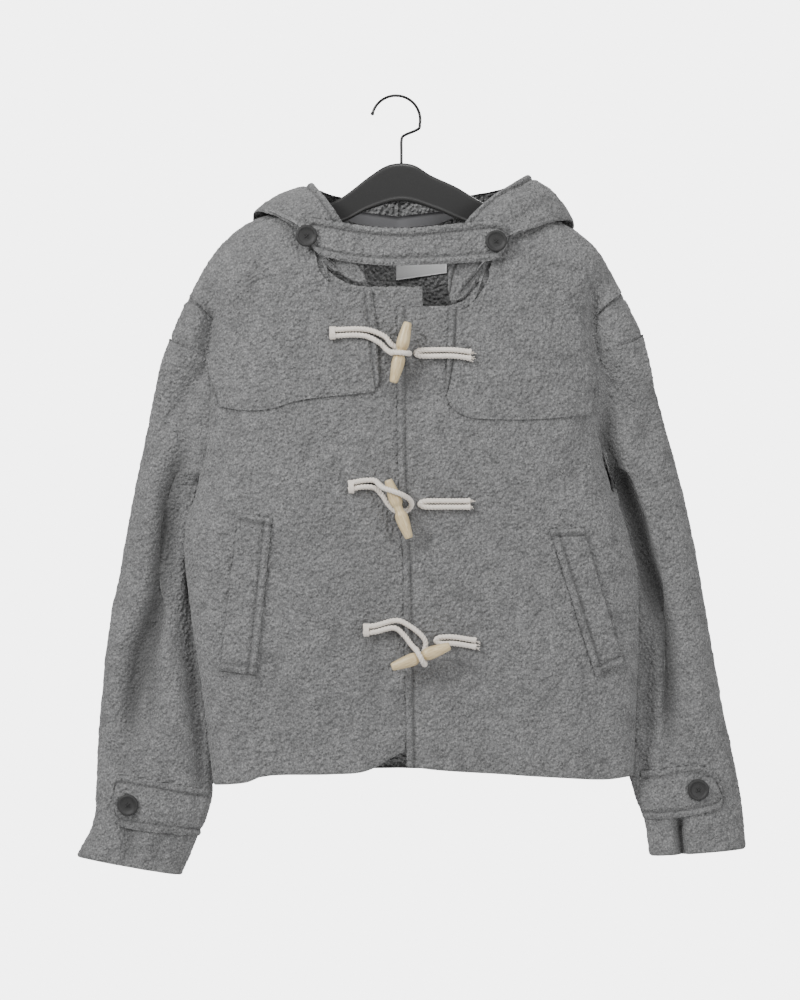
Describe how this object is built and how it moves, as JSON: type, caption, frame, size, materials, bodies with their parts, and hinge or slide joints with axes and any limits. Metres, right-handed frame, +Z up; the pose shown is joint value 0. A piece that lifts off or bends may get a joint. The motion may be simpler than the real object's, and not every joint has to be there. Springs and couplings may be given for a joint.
{
  "type": "hooded duffle coat on its hanger",
  "caption": "Short grey hooded duffle coat of thick looped wool with toggles on cord loops, chin strap, welt pockets and cuff tabs, hanging flat on a black wire-hooked hanger.",
  "frame": {"origin": "inside top of the hanger's hook, where a rod or peg carries it", "axes": "+Z up, the front of the coat faces -Y, +X to the right as seen from the front"},
  "size_m": [0.7245, 0.1652, 0.8441],
  "materials": {
    "wool": "thick looped grey wool with light and dark flecks, fully matte",
    "satin": "grey satin lining with a soft sheen",
    "label": "plain white woven tape, blank",
    "cord": "off-white twisted cotton cord",
    "toggle_wood": "pale turned wood with fine long grain, clear coat",
    "button": "near-black matte button with a rim",
    "hanger_plastic": "charcoal moulded plastic, satin",
    "hook_wire": "black coated steel wire"
  },
  "bodies": {
    "root": {"hanger_body": "hanger_plastic", "hanger_hook": "hook_wire", "back": "wool", "front_left": "wool", "front_right": "wool", "shoulder_band_left": "wool", "shoulder_band_right": "wool", "sleeve_left_under": "wool", "sleeve_left_upper": "wool", "sleeve_right_under": "wool", "sleeve_right_upper": "wool", "yoke_left": "wool", "yoke_right": "wool", "pocket_welt_left": "wool", "pocket_welt_right": "wool", "cuff_tab_left": "wool", "cuff_tab_right": "wool", "cuff_button_left": "button", "cuff_button_right": "button", "hood_left": "wool", "hood_right": "wool", "hood_lining": "satin", "chin_strap": "wool", "strap_button_left": "button", "strap_button_right": "button", "label": "label", "toggle_1": "toggle_wood", "toggle_2": "toggle_wood", "toggle_3": "toggle_wood", "toggle_1_holder": "cord", "toggle_2_holder": "cord", "toggle_3_holder": "cord", "toggle_1_loop": "cord", "toggle_2_loop": "cord", "toggle_3_loop": "cord"}
  },
  "joints": []
}
